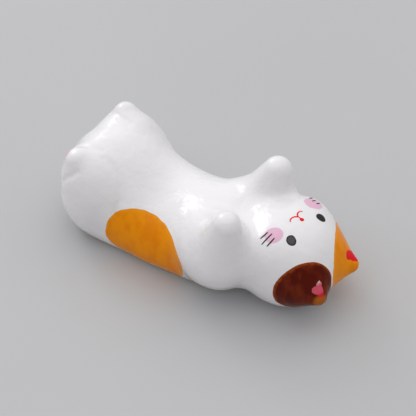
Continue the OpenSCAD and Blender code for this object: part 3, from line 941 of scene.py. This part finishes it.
@dataclass(frozen=True)
class WhiteGlaze:
    """White clay under a clear, glossy glaze.

    Args:
        slot: Name of its material.
        white: The glaze's colour.
        cool: Where it lies thicker.
        thin: Where it thins out above the foot.
        fleck: Its few specks.
        rim: Heights in metres between which it thins out.
    """

    slot: str = "white_glaze"
    white: Colour = rgb(239, 237, 239)
    cool: Colour = rgb(231, 228, 233)
    thin: Colour = rgb(205, 196, 180)
    fleck: Colour = rgb(178, 164, 146)
    rim: Pair = (0.0007, 0.0013)

    def material(self) -> bpy.types.Material:
        """Makes the material.

        Returns:
            The material.
        """
        g = Graph(bpy.data.materials.new(self.slot))
        colour = g.blend(self.white, self.cool, g.noise(95, 2).step(0.4, 0.7) * 0.6)
        height = g.height() + g.noise(900, 2) * 0.0004
        colour = g.blend(colour, self.thin, 1.0 - height.step(*self.rim))
        speck = g.specks(240, 0.03) * g.noise(60, 1, 3.0).step(0.52, 0.64)
        colour = g.blend(colour, self.fleck, speck * 0.2)
        ripple = g.ripple(540, 0.72)
        pits = g.specks(620, 0.07) * g.noise(110, 1, 5.0).step(0.52, 0.66)
        rough = 0.045 + g.noise(700, 3, 4.0) * 0.05 + g.noise(45, 2, 6.0).step(0.5, 0.75) * 0.04
        return g.surface(Base_Color=colour, Roughness=rough, IOR=1.5, Coat_Weight=0.3,
                         Coat_Roughness=0.03, Coat_IOR=1.5, Normal=g.bump(ripple - pits * 0.25))


@dataclass(frozen=True)
class BareClay:
    """Unglazed, fired clay.

    Args:
        slot: Name of its material.
        clay: Its colour.
        dark: Its darker grains.
        fleck: Its darkest specks.
    """

    slot: str = "bare_clay"
    clay: Colour = rgb(212, 201, 181)
    dark: Colour = rgb(176, 158, 132)
    fleck: Colour = rgb(140, 118, 92)

    def material(self) -> bpy.types.Material:
        """Makes the material.

        Returns:
            The material.
        """
        g = Graph(bpy.data.materials.new(self.slot))
        grain = g.noise(1900, 4)
        colour = g.blend(self.clay, self.dark, grain.step(0.48, 0.75) * 0.8)
        colour = g.blend(colour, self.fleck, g.specks(700, 0.16) * 0.5)
        return g.surface(Base_Color=colour, Roughness=0.78 + grain * 0.18,
                         Normal=g.bump(grain, 0.00008, 0.8))


@dataclass(frozen=True)
class Enamel:
    """A brushed colour under or over the glaze.

    Args:
        slot: The end of its materials' names.
        colour: Where it lies thick.
        thin: Where the brush left it thin.
        rim: Colour of its very edge.
        rim_share: How much the edge shows.
        streaks: How strongly brush streaks show.
        gloss: Roughness of its surface.
    """

    slot: str
    colour: Colour
    thin: Colour
    rim: Colour
    rim_share: float = 0.5
    streaks: float = 0.35
    gloss: float = 0.07

    def material(self, name: str) -> bpy.types.Material:
        """Makes the material.

        Args:
            name: The material's name.

        Returns:
            The material.
        """
        g = Graph(bpy.data.materials.new(name))
        mottle = g.noise(330, 3, 7.0) * 0.5 + g.noise(700, 2, 9.0, (1.0, 1.0, 0.25)) * 0.5
        colour = g.blend(self.colour, self.thin, mottle.step(0.42, 0.66) * self.streaks)
        edge = (g.mark("edge") + (g.noise(1300, 2, 8.0) - 0.5) * 0.1).step(0.86, 0.96)
        colour = self.tint(g, g.blend(colour, self.rim, edge * self.rim_share))
        ripple = g.ripple(560, 0.45)
        rough = self.gloss + g.noise(800, 3, 4.0) * 0.06
        return g.surface(Base_Color=colour, Roughness=rough, IOR=1.22, Normal=g.bump(ripple))

    def tint(self, g: Graph, colour: Value) -> Value:
        """A last change of colour, for enamels that differ from place to place."""
        return colour


@dataclass(frozen=True)
class TippedEnamel(Enamel):
    """An enamel that ends in another colour around one spot.

    Args:
        tip: Middle of that place, in millimetres.
        reach: How far it spreads, in millimetres.
        tip_colour: Its colour.
    """

    tip: Triple = (0.0, 0.0, 0.0)
    reach: float = 1.0
    tip_colour: Colour = (1.0, 1.0, 1.0, 1.0)

    def tint(self, g: Graph, colour: Value) -> Value:
        """Blends towards the tip's colour.

        Args:
            g: The material's graph.
            colour: The colour so far.

        Returns:
            The blended colour.
        """
        near = 1.0 - (g.away(self.tip) + (g.noise(900, 2, 5.0) - 0.5) * 0.0006).step(
            self.reach * 0.45 * MM, self.reach * MM)
        return g.blend(colour, self.tip_colour, near * 0.9)


@dataclass(frozen=True)
class EarWash(Enamel):
    """Pink with a painted highlight that pales it towards the top, deepening to red below.

    Args:
        pale: Colour of the painted highlight at the top.
        deep: Its colour at the bottom.
        heights: Where the painted highlight is palest, where it and the deep part end, and where it is
            deepest.
    """

    # pale is the colour of a painted highlight at the top of the ear mark
    pale: Colour = rgb(226, 196, 194)
    deep: Colour = rgb(206, 16, 40)
    heights: tuple[float, float, float, float] = (10.7, 10.1, 9.3, 8.9)

    def tint(self, g: Graph, colour: Value) -> Value:
        """Blends in the painted highlight above and the deep red below, by height.

        Args:
            g: The material's graph.
            colour: The colour so far.

        Returns:
            The blended colour.
        """
        height = g.height() + (g.noise(1100, 2, 6.0) - 0.5) * 0.0006
        top, fade, turn, bottom = (h * MM for h in self.heights)
        # painted highlight: the top of the mark is blended towards the pale colour
        colour = g.blend(colour, self.pale, height.step(fade, top) * 0.8)
        return g.blend(colour, self.deep, (1.0 - height.step(bottom, turn)) * 0.9)


@dataclass(frozen=True)
class DomedEnamel(Enamel):
    """A raised dot that is paler in its middle.

    Args:
        heart: The colour of its middle.
    """

    heart: Colour = rgb(86, 85, 87)

    def tint(self, g: Graph, colour: Value) -> Value:
        """Blends the colour so far towards the middle's colour."""
        return g.blend(colour, self.heart, (1.0 - g.mark("edge").step(0.5, 0.92)) * 0.85)


WHITE = WhiteGlaze()
CLAY = BareClay()
ORANGE = Enamel("orange_enamel", rgb(243, 147, 1), rgb(228, 121, 0), rgb(240, 168, 42), 0.4, 0.6)
BROWN = TippedEnamel("brown_enamel", rgb(84, 15, 0), rgb(118, 38, 6), rgb(176, 82, 14), 0.75, 0.8,
                     tip=(29.3, -5.3, 7.5), reach=1.9, tip_colour=rgb(176, 98, 28))
BLUSH = Enamel("blush_enamel", rgb(230, 186, 210), rgb(233, 198, 217), rgb(236, 222, 232), 0.85)
EAR_PINK = EarWash("ear_pink_enamel", rgb(210, 84, 106), rgb(160, 46, 52), rgb(140, 44, 40), 0.6, 0.85)
RED = Enamel("red_enamel", rgb(232, 12, 26), rgb(228, 52, 52), rgb(224, 90, 90), 0.3)
INK = Enamel("ink_enamel", rgb(46, 43, 44), rgb(60, 58, 58), rgb(24, 20, 22), 0.7)
INK_DOME = DomedEnamel("ink_enamel", rgb(46, 43, 44), rgb(60, 58, 58), rgb(24, 20, 22), 0.7)


# Sub-assemblies


def place_piece(obj: bpy.types.Object, material: bpy.types.Material,
                nodes: Iterable[str]) -> None:
    """Finishes a piece: material, body, slot and the CAD nodes it stands for.

    Args:
        obj: The piece.
        material: Its material.
        nodes: The CAD nodes.
    """
    obj.data.materials.clear()
    obj.data.materials.append(material)
    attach(obj, BODY)
    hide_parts(*nodes)
    LOG.info("piece %s: %d faces, stands for %s", obj.name, len(obj.data.polygons), ", ".join(nodes))


def lay_enamel(skin: Skin, area: PaintedArea | PaintedLine, enamel: Enamel, node: str) -> None:
    """Lays a painted area or line on the skin and finishes it, with the CAD node it stands for."""
    obj = area.mesh(skin).to_object(area.name)
    place_piece(obj, enamel.material(f"{area.name}_{enamel.slot}"), (node,))


@dataclass
class Casting:
    """The glazed body and its bare foot.

    Args:
        skin: The surface.
        low: Lowest corner of the mesh's cells.
        high: Highest corner of the mesh's cells.
        step: Width of a cell.
        foot_inset: How far the bare foot stands back under the glaze.
        foot_bevel: Width of the foot's worn edge.
        foot_top: How far the foot reaches up into the glazed body.
        spine: X of the spots inside, that the foot's outline is seen from.
        spine_turn: The way each of them looks, in degrees.
    """

    skin: Skin
    low: Triple = (-31.0, -15.0, -0.6)
    high: Triple = (31.5, 15.0, 23.6)
    step: float = 0.33
    foot_inset: float = 0.14
    foot_bevel: float = 0.12
    foot_top: float = 0.25
    spine: tuple[float, ...] = (-18.2, 15.0, 15.0, -18.2, -18.2)
    spine_turn: tuple[float, ...] = (-90.0, -90.0, 90.0, 90.0, 270.0)

    nodes = ("torso", "head", "left_ear", "right_ear", "left_foreleg", "right_foreleg",
             "left_hind_leg", "right_hind_leg")

    def build(self) -> None:
        """Makes both pieces."""
        body = net_surface(self.skin, self.low, self.high, self.step).to_object("glazed_body")
        place_piece(body, WHITE.material(), self.nodes)
        foot = self.foot().to_object("bare_clay_foot")
        place_piece(foot, CLAY.material(), ("bare_foot",))

    def outline(self, height: float, inset: float, count: int = 260) -> np.ndarray:
        """Outline of the foot at one height.

        Args:
            height: The height.
            inset: How far inside the skin it runs.
            count: How many spots it has.

        Returns:
            The spots, in order.
        """
        walk = np.linspace(0, 4, count, endpoint=False)
        spine = np.interp(walk, range(5), self.spine)
        turn = np.radians(np.interp(walk, range(5), self.spine_turn))
        way = np.column_stack([np.cos(turn), np.sin(turn), np.zeros(count)])
        start = np.column_stack([spine, np.zeros(count), np.full(count, height)])
        t = np.full(count, FOOT_NEAREST)
        for _ in range(RAY_STEPS):
            f = self.skin.form.skin(start + way * t[:, None])
            t = np.maximum(t - np.clip(f, -1, 1) * FOOT_STRIDE, FOOT_NEAREST)
        spots = start + way * t[:, None]
        ahead = np.roll(spots, -1, axis=0) - np.roll(spots, 1, axis=0)
        aside = np.column_stack([-ahead[:, 1], ahead[:, 0], np.zeros(count)])
        return spots + aside / np.linalg.norm(aside, axis=1)[:, None] * inset

    def foot(self) -> MeshData:
        """The foot, flat below, with a worn edge.

        Returns:
            Its closed mesh.
        """
        worn = self.foot_bevel * 0.3
        levels = [(self.skin.glaze_line + self.foot_top, self.foot_inset),
                  (self.foot_bevel, self.foot_inset), (worn, self.foot_inset + worn),
                  (0.0, self.foot_inset + self.foot_bevel)]
        loops = [self.outline(z, inset) for z, inset in levels]
        n = len(loops[0])
        ends = [tuple(range(n)), tuple(range(4 * n - 1, 3 * n - 1, -1))]
        return MeshData(np.vstack(loops), ends + band_faces(len(loops), n))


@dataclass
class Coat:
    """The calico patches and the marks inside the ears.

    Args:
        skin: The surface they lie on.
        flank_seat: Where the flank's patch is laid from.
        ear_shares: Where an ear's seats lie, as shares of the ear's root along and aside.
        flank_outline: Outline of the flank's patch, seen straight from the left.
        brown_outline: Outline of the brown patch round the left ear.
        orange_outline: Outline of the orange patch round the right ear.
        left_mark_outline: Outline of the pink mark in the left ear.
        right_mark_outline: Outline of the red mark in the right ear.
    """

    skin: Skin
    flank_seat: Triple = (-8.5, 0, 5.5)
    ear_shares: Pair = (1.8, 1.9)
    flank_outline: tuple[Triple, ...] = (
        (-14.2, 0, 4.8), (-14.15, 0, 7.4), (-13.9, 0, 9.3), (-13, 0, 10.8), (-11.4, 0, 11.6),
        (-9.2, 0, 11.95), (-7, 0, 11.9), (-4.5, 0, 11.65), (-1.75, 0, 11.1), (0.9, 0, 10.5),
        (2.95, 0, 9.6), (3.95, 0, 8.9), (3.75, 0, 7.4), (2.9, 0, 5.0), (2.3, 0, 3.0), (1.4, 0, 1.6),
        (-5, 0, 1.8), (-10, 0, 1.8), (-13, 0, 2.6))
    brown_outline: tuple[Triple, ...] = (
        (21.5, -8.1, 5.6), (21.2, -8.6, 7.2), (21.1, -8.7, 8.3), (21.2, -8.5, 10.1), (21.8, -7.8, 11.8),
        (22.7, -6.6, 13.1), (23.6, -5.2, 13.8), (24.6, -3.9, 13.95), (25.7, -2.6, 13.7), (26.8, -1.5, 12.9),
        (27.9, -0.7, 11.3), (28.4, -0.5, 9.9), (28.6, -0.9, 8.7), (28.5, -1.2, 7.2), (27.5, -1.9, 4.4),
        (25.6, -3.6, 2.8), (23.4, -6.4, 2.8))
    orange_outline: tuple[Triple, ...] = (
        (21.2, 10.7, 11.4), (23.5, 8.7, 13.3), (24.6, 6.9, 13.8), (25.7, 5, 13.9), (26.7, 3.2, 13.3),
        (27.7, 1.5, 12), (28.3, 0.4, 10.4), (28.6, -0.3, 9.1), (28.5, -0.2, 7.4), (27.4, 1.6, 4.4),
        (25.2, 4.2, 2.8), (22.6, 8.6, 3.0), (21.2, 10.9, 6.2))
    left_mark_outline: tuple[Triple, ...] = (
        (27.5, -5.7, 9.3), (27.2, -5.3, 9.8), (27.55, -4.5, 10.15), (27.65, -3.5, 10.8), (28.3, -3.7, 9.8),
        (28.9, -3.9, 9.0), (29, -4.9, 8.6), (28.2, -5.3, 9.0))
    right_mark_outline: tuple[Triple, ...] = (
        (28.2, 4.9, 10.8), (28.1, 6.5, 10.1), (28.4, 7.3, 9.1), (29.2, 7, 8.6), (29.8, 6.5, 8.4),
        (29.55, 5.8, 8.9), (29.1, 5.1, 9.5), (28.7, 4.3, 10.1))

    def ear_seat(self, side: Side, azimuth: float, rise: float = 0.0) -> Seat:
        """A seat inside an ear.

        Args:
            side: Which ear.
            azimuth: Way it faces, in degrees about the vertical.
            rise: How far above level it faces, in degrees.

        Returns:
            The seat.
        """
        ear = self.skin.form.ear
        along, aside = self.ear_shares
        spot = (ear.root[0] * along, ear.root[1] * aside * side.value, ear.tip[2])
        return Seat(tuple(self.skin.form.out_of_head(spot)), azimuth, rise, Laying.ROUND)

    def build(self) -> None:
        """Makes the patches."""
        flank = Seat(self.flank_seat, -90, 0, Laying.CAST)
        left, right = Side.LEFT, Side.RIGHT
        for name, enamel, node, seat, outline, brush, layer, rings, sectors in (
            ("flank_patch", ORANGE, "flank_enamel", flank, self.flank_outline,
             Brush(3, 0.008, 0.004), 0, 30, 150),
            ("brown_patch", BROWN, "brown_head_enamel", self.ear_seat(left, -18), self.brown_outline,
             Brush(5, 0.006, 0.003), 0, 36, 180),
            ("orange_patch", ORANGE, "orange_ear_enamel", self.ear_seat(right, 12.5), self.orange_outline,
             Brush(8, 0.006, 0.004), 0, 36, 180),
            ("left_ear_mark", EAR_PINK, "left_inner_ear", self.ear_seat(left, -15.5, 19.5),
             self.left_mark_outline, Brush(11, 0.1, 0.07), 1, 14, 64),
            ("right_ear_mark", RED, "right_inner_ear", self.ear_seat(right, 9.5, 16.5),
             self.right_mark_outline, Brush(13, 0.03, 0.02), 1, 14, 64),
        ):
            area = PaintedArea(name, seat, brush, outline, layer=layer, rings=rings, sectors=sectors)
            lay_enamel(self.skin, area, enamel, node)


@dataclass
class Face:
    """Eyes, cheeks, cheek strokes, nose and mouth.

    Args:
        skin: The surface they lie on.
        eyes: Places in plan, left then right.
        cheeks: Places in plan, left then right.
        eye_radii: Radii of the eyes, left then right.
        cheek_radii: Radii of the cheeks, left then right.
        stroke_ends: Ends in plan of the three strokes on each cheek, left then right.
        stroke_bow: How far their middles bow towards +X.
        stroke_width: Their width.
        nose: Place in plan.
        nose_radius: Its radius.
        philtrum: Path in plan from the mouth to the nose.
        philtrum_width: Its width.
        mouth: Path in plan, from left to right.
        mouth_width: Its width.
    """

    skin: Skin
    eyes: tuple[Pair, Pair] = ((21.0, -2.72), (22.22, 5.5))
    cheeks: tuple[Pair, Pair] = ((17.87, -3.68), (19.3, 7.55))
    eye_radii: Pair = (0.93, 0.86)
    cheek_radii: Pair = (1.68, 1.72)
    stroke_ends: tuple[tuple[tuple[Pair, Pair], ...], ...] = (
        (((16.6, -3.7), (15.98, -5.27)), ((17.49, -3.65), (16.81, -6.12)), ((18.34, -4.17), (17.9, -6.07))),
        (((17.93, 8.38), (18.1, 9.3)), ((18.88, 7.83), (19.03, 8.9)), ((19.79, 7.88), (19.96, 8.85))))
    stroke_bow: float = 0.05
    stroke_width: float = 0.3
    nose: Pair = (20.21, 2.11)
    nose_radius: float = 0.42
    philtrum: tuple[Pair, ...] = ((19.4, 2.22), (19.7, 2.18), (19.95, 2.14))
    philtrum_width: float = 0.28
    mouth: tuple[Pair, ...] = (
        (18.92, 0.25), (18.62, 0.68), (18.62, 1.23), (18.87, 1.79), (19.33, 2.2),
        (18.99, 2.5), (18.77, 3.08), (18.86, 3.62), (19.06, 3.82), (19.3, 3.84))
    mouth_width: float = 0.33

    def spot(self, name: str, plan: Pair, radius: float, brush: Brush) -> PaintedArea:
        """A round spot on top of the head, at its place in plan."""
        seat = Seat((*plan, self.skin.form.head_middle[2]), 180, 90, Laying.CAST)
        return PaintedArea(name, seat, brush, reach=radius, rings=10, sectors=48)

    def strokes(self, k: int) -> list[tuple[Pair, ...]]:
        """The three short strokes on a cheek, in plan.

        Args:
            k: 0 for the left cheek, 1 for the right.

        Returns:
            Their paths.
        """
        out = []
        for start, end in self.stroke_ends[k]:
            middle = ((start[0] + end[0]) / 2 + self.stroke_bow, (start[1] + end[1]) / 2)
            out.append((start, middle, end))
        return out

    def build(self) -> None:
        """Makes the face."""
        areas = []
        for k, side in enumerate(Side):
            word = side.name.lower()
            eye = self.spot(f"{word}_eye_dot", self.eyes[k], self.eye_radii[k], Brush(20 + k, 0.05, 0.02))
            blush = self.spot(f"{word}_cheek_blush", self.cheeks[k], self.cheek_radii[k],
                              Brush(30 + k, 0.06, 0.02))
            areas += [(eye, INK_DOME if side is Side.LEFT else INK, f"{word}_eye"),
                      (blush, BLUSH, f"{word}_cheek")]
            for j, path in enumerate(self.strokes(k), 1):
                line = PaintedLine(f"{word}_cheek_stroke_{j}", path, self.stroke_width, 1)
                areas.append((line, INK, f"{word}_whisker_{j}"))
        areas += [
            (self.spot("nose_dot", self.nose, self.nose_radius, Brush(41, 0.05)), RED, "nose"),
            (PaintedLine("philtrum_line", self.philtrum, self.philtrum_width), RED, "philtrum"),
            (PaintedLine("mouth_line", self.mouth, self.mouth_width, press=(0.7, 0.6)), RED, "mouth"),
        ]
        for area, enamel, node in areas:
            lay_enamel(self.skin, area, enamel, node)


@dataclass
class PawPads:
    """The pink soles of the hind paws.

    Args:
        skin: The surface they lie on.
        reach: Their radius, in degrees seen from the middle of the paw.
        rise: How far they look up, in degrees.
        turns: How far they look aside from straight back, in degrees, left then right.
    """

    skin: Skin
    reach: float = 30.0
    rise: float = 25.0
    turns: Pair = (6.0, -20.0)

    def build(self) -> None:
        """Makes both pads."""
        x, y, z = self.skin.form.hind_leg.tip
        for side, turn in zip(Side, self.turns):
            word = side.name.lower()
            seat = Seat((x, y * side.value, z), 180 + turn, self.rise, Laying.ROUND)
            brush = Brush(50 + side.value, 0.05, 0.02)
            area = PaintedArea(f"{word}_hind_pad", seat, brush, reach=self.reach, rings=16)
            lay_enamel(self.skin, area, BLUSH, f"{word}_paw_pad")


# Studio


@dataclass(frozen=True)
class SoftBox:
    """A square area light.

    Args:
        name: Its name.
        place: Where it hangs, in metres.
        size: Its width, in metres.
        power: Its power, in watts.
        aim: What it points at, in metres.
    """

    name: str
    place: Triple
    size: float
    power: float
    aim: Triple = (0.0, 0.0, 0.008)

    def build(self) -> None:
        """Hangs the light."""
        light = bpy.data.lights.new(self.name, "AREA")
        light.shape = "SQUARE"
        light.size = self.size
        light.energy = self.power
        obj = bpy.data.objects.new(self.name, light)
        obj.location = self.place
        way = Vector(self.aim) - Vector(self.place)
        obj.rotation_euler = way.to_track_quat("-Z", "Y").to_euler()
        obj.visible_camera = False
        bpy.context.scene.collection.objects.link(obj)
        LOG.info("light %s", self.name)


@dataclass(frozen=True)
class Viewpoint:
    """The camera, as the photograph was taken.

    Args:
        target: What it looks at, in millimetres.
        azimuth: Turn about the vertical, in degrees.
        elevation: Height above the horizon, in degrees.
        distance: Distance from the target, in millimetres.
        scale: Image pixels a millimetre at the target.
        centre: Where the target lies in the image.
        roll: Turn of the image, in degrees.
        frame: Width of the image in pixels.
    """

    target: Triple = (0, 0, 8)
    azimuth: float = 33.982
    elevation: float = 45.643
    distance: float = 380.0
    scale: float = 5.326
    centre: Pair = (202.84, 218.92)
    roll: float = -0.18
    frame: int = 416

    def build(self) -> None:
        """Sets up the camera."""
        data = bpy.data.cameras.new("camera")
        data.sensor_width = 36.0
        data.lens = self.scale * self.distance * data.sensor_width / self.frame
        data.shift_x = (self.frame / 2 - self.centre[0]) / self.frame
        data.shift_y = (self.centre[1] - self.frame / 2) / self.frame
        data.clip_start = 0.01
        data.clip_end = 10.0
        t, e = math.radians(self.azimuth), math.radians(self.elevation)
        right = Vector((math.cos(t), math.sin(t), 0))
        up = Vector((-math.sin(t) * math.sin(e), math.cos(t) * math.sin(e), math.cos(e)))
        back = Vector((math.sin(t) * math.cos(e), -math.cos(t) * math.cos(e), math.sin(e)))
        r = math.radians(self.roll)
        right, up = right * math.cos(r) + up * math.sin(r), up * math.cos(r) - right * math.sin(r)
        place = (Vector(self.target) + back * self.distance) * MM
        turn = Matrix((right, up, back)).transposed().to_4x4()
        camera = bpy.data.objects.new("camera", data)
        camera.matrix_world = Matrix.Translation(place) @ turn
        bpy.context.scene.collection.objects.link(camera)
        bpy.context.scene.camera = camera


@dataclass
class Studio:
    """A pale floor, soft lights and the camera.

    Args:
        floor_colour: The floor's colour.
        floor_cloud: Its colour in soft clouds.
        floor_half: Half its width, in metres.
        low_sky: Brightness of the surroundings on the side away from the light.
        high_sky: Brightness of the surroundings where the light comes from.
        sky_way: Direction that the light comes from.
        boxes: The lights.
    """

    floor_colour: Colour = rgb(188, 188, 190)
    floor_cloud: Colour = rgb(194, 194, 196)
    floor_half: float = 1.5
    low_sky: float = 0.43
    high_sky: float = 1.22
    sky_way: Triple = (-0.33, 0.24, 0.91)
    boxes: tuple[SoftBox, ...] = (SoftBox("window_light", (-0.39, 0.14, 0.27), 0.18, 0.26),
                                  SoftBox("low_light", (-0.39, 0.26, 0.17), 0.08, 0.02))

    def build(self) -> None:
        """Makes the studio."""
        self.floor()
        self.world()
        for box in self.boxes:
            box.build()
        Viewpoint().build()
        bpy.context.scene.view_settings.view_transform = "Standard"

    def floor(self) -> None:
        """Lays the floor."""
        half = self.floor_half
        corners = [(-half, -half, 0), (half, -half, 0), (half, half, 0), (-half, half, 0)]
        mesh = bpy.data.meshes.new("floor")
        mesh.from_pydata(corners, [], [(0, 1, 2, 3)])
        obj = bpy.data.objects.new("floor", mesh)
        bpy.context.scene.collection.objects.link(obj)
        g = Graph(bpy.data.materials.new("pale_floor"))
        colour = g.blend(self.floor_colour, self.floor_cloud, g.noise(9, 2).step(0.35, 0.7) * 0.5)
        obj.data.materials.append(g.surface(Base_Color=colour, Roughness=0.85))

    def world(self) -> None:
        """Sets the soft light all round, which is also the pale backdrop."""
        world = bpy.data.worlds.new("studio")
        g = Graph(world)
        way = g.node("ShaderNodeTexCoord", out="Generated")
        toward = g.node("ShaderNodeVectorMath", {"operation": "DOT_PRODUCT"}, {0: way, 1: self.sky_way},
                        out="Value")
        low, high = ((bright, bright, bright, 1.0) for bright in (self.low_sky, self.high_sky))
        light = g.node("ShaderNodeBackground", None, {"Color": g.blend(low, high, toward.step(0.0, 1.0))})
        g.end(light, "ShaderNodeOutputWorld")
        bpy.context.scene.world = world


def main() -> None:
    """Builds the part's looks, piece by piece, and the studio round it."""
    logging.basicConfig(level=logging.INFO, format="%(name)s: %(message)s")
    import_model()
    skin = Skin(CatForm())
    for assembly in (Casting(skin), Coat(skin), Face(skin), PawPads(skin), Studio()):
        LOG.info("building %s", type(assembly).__name__)
        assembly.build()


if __name__ == "__main__":
    main()
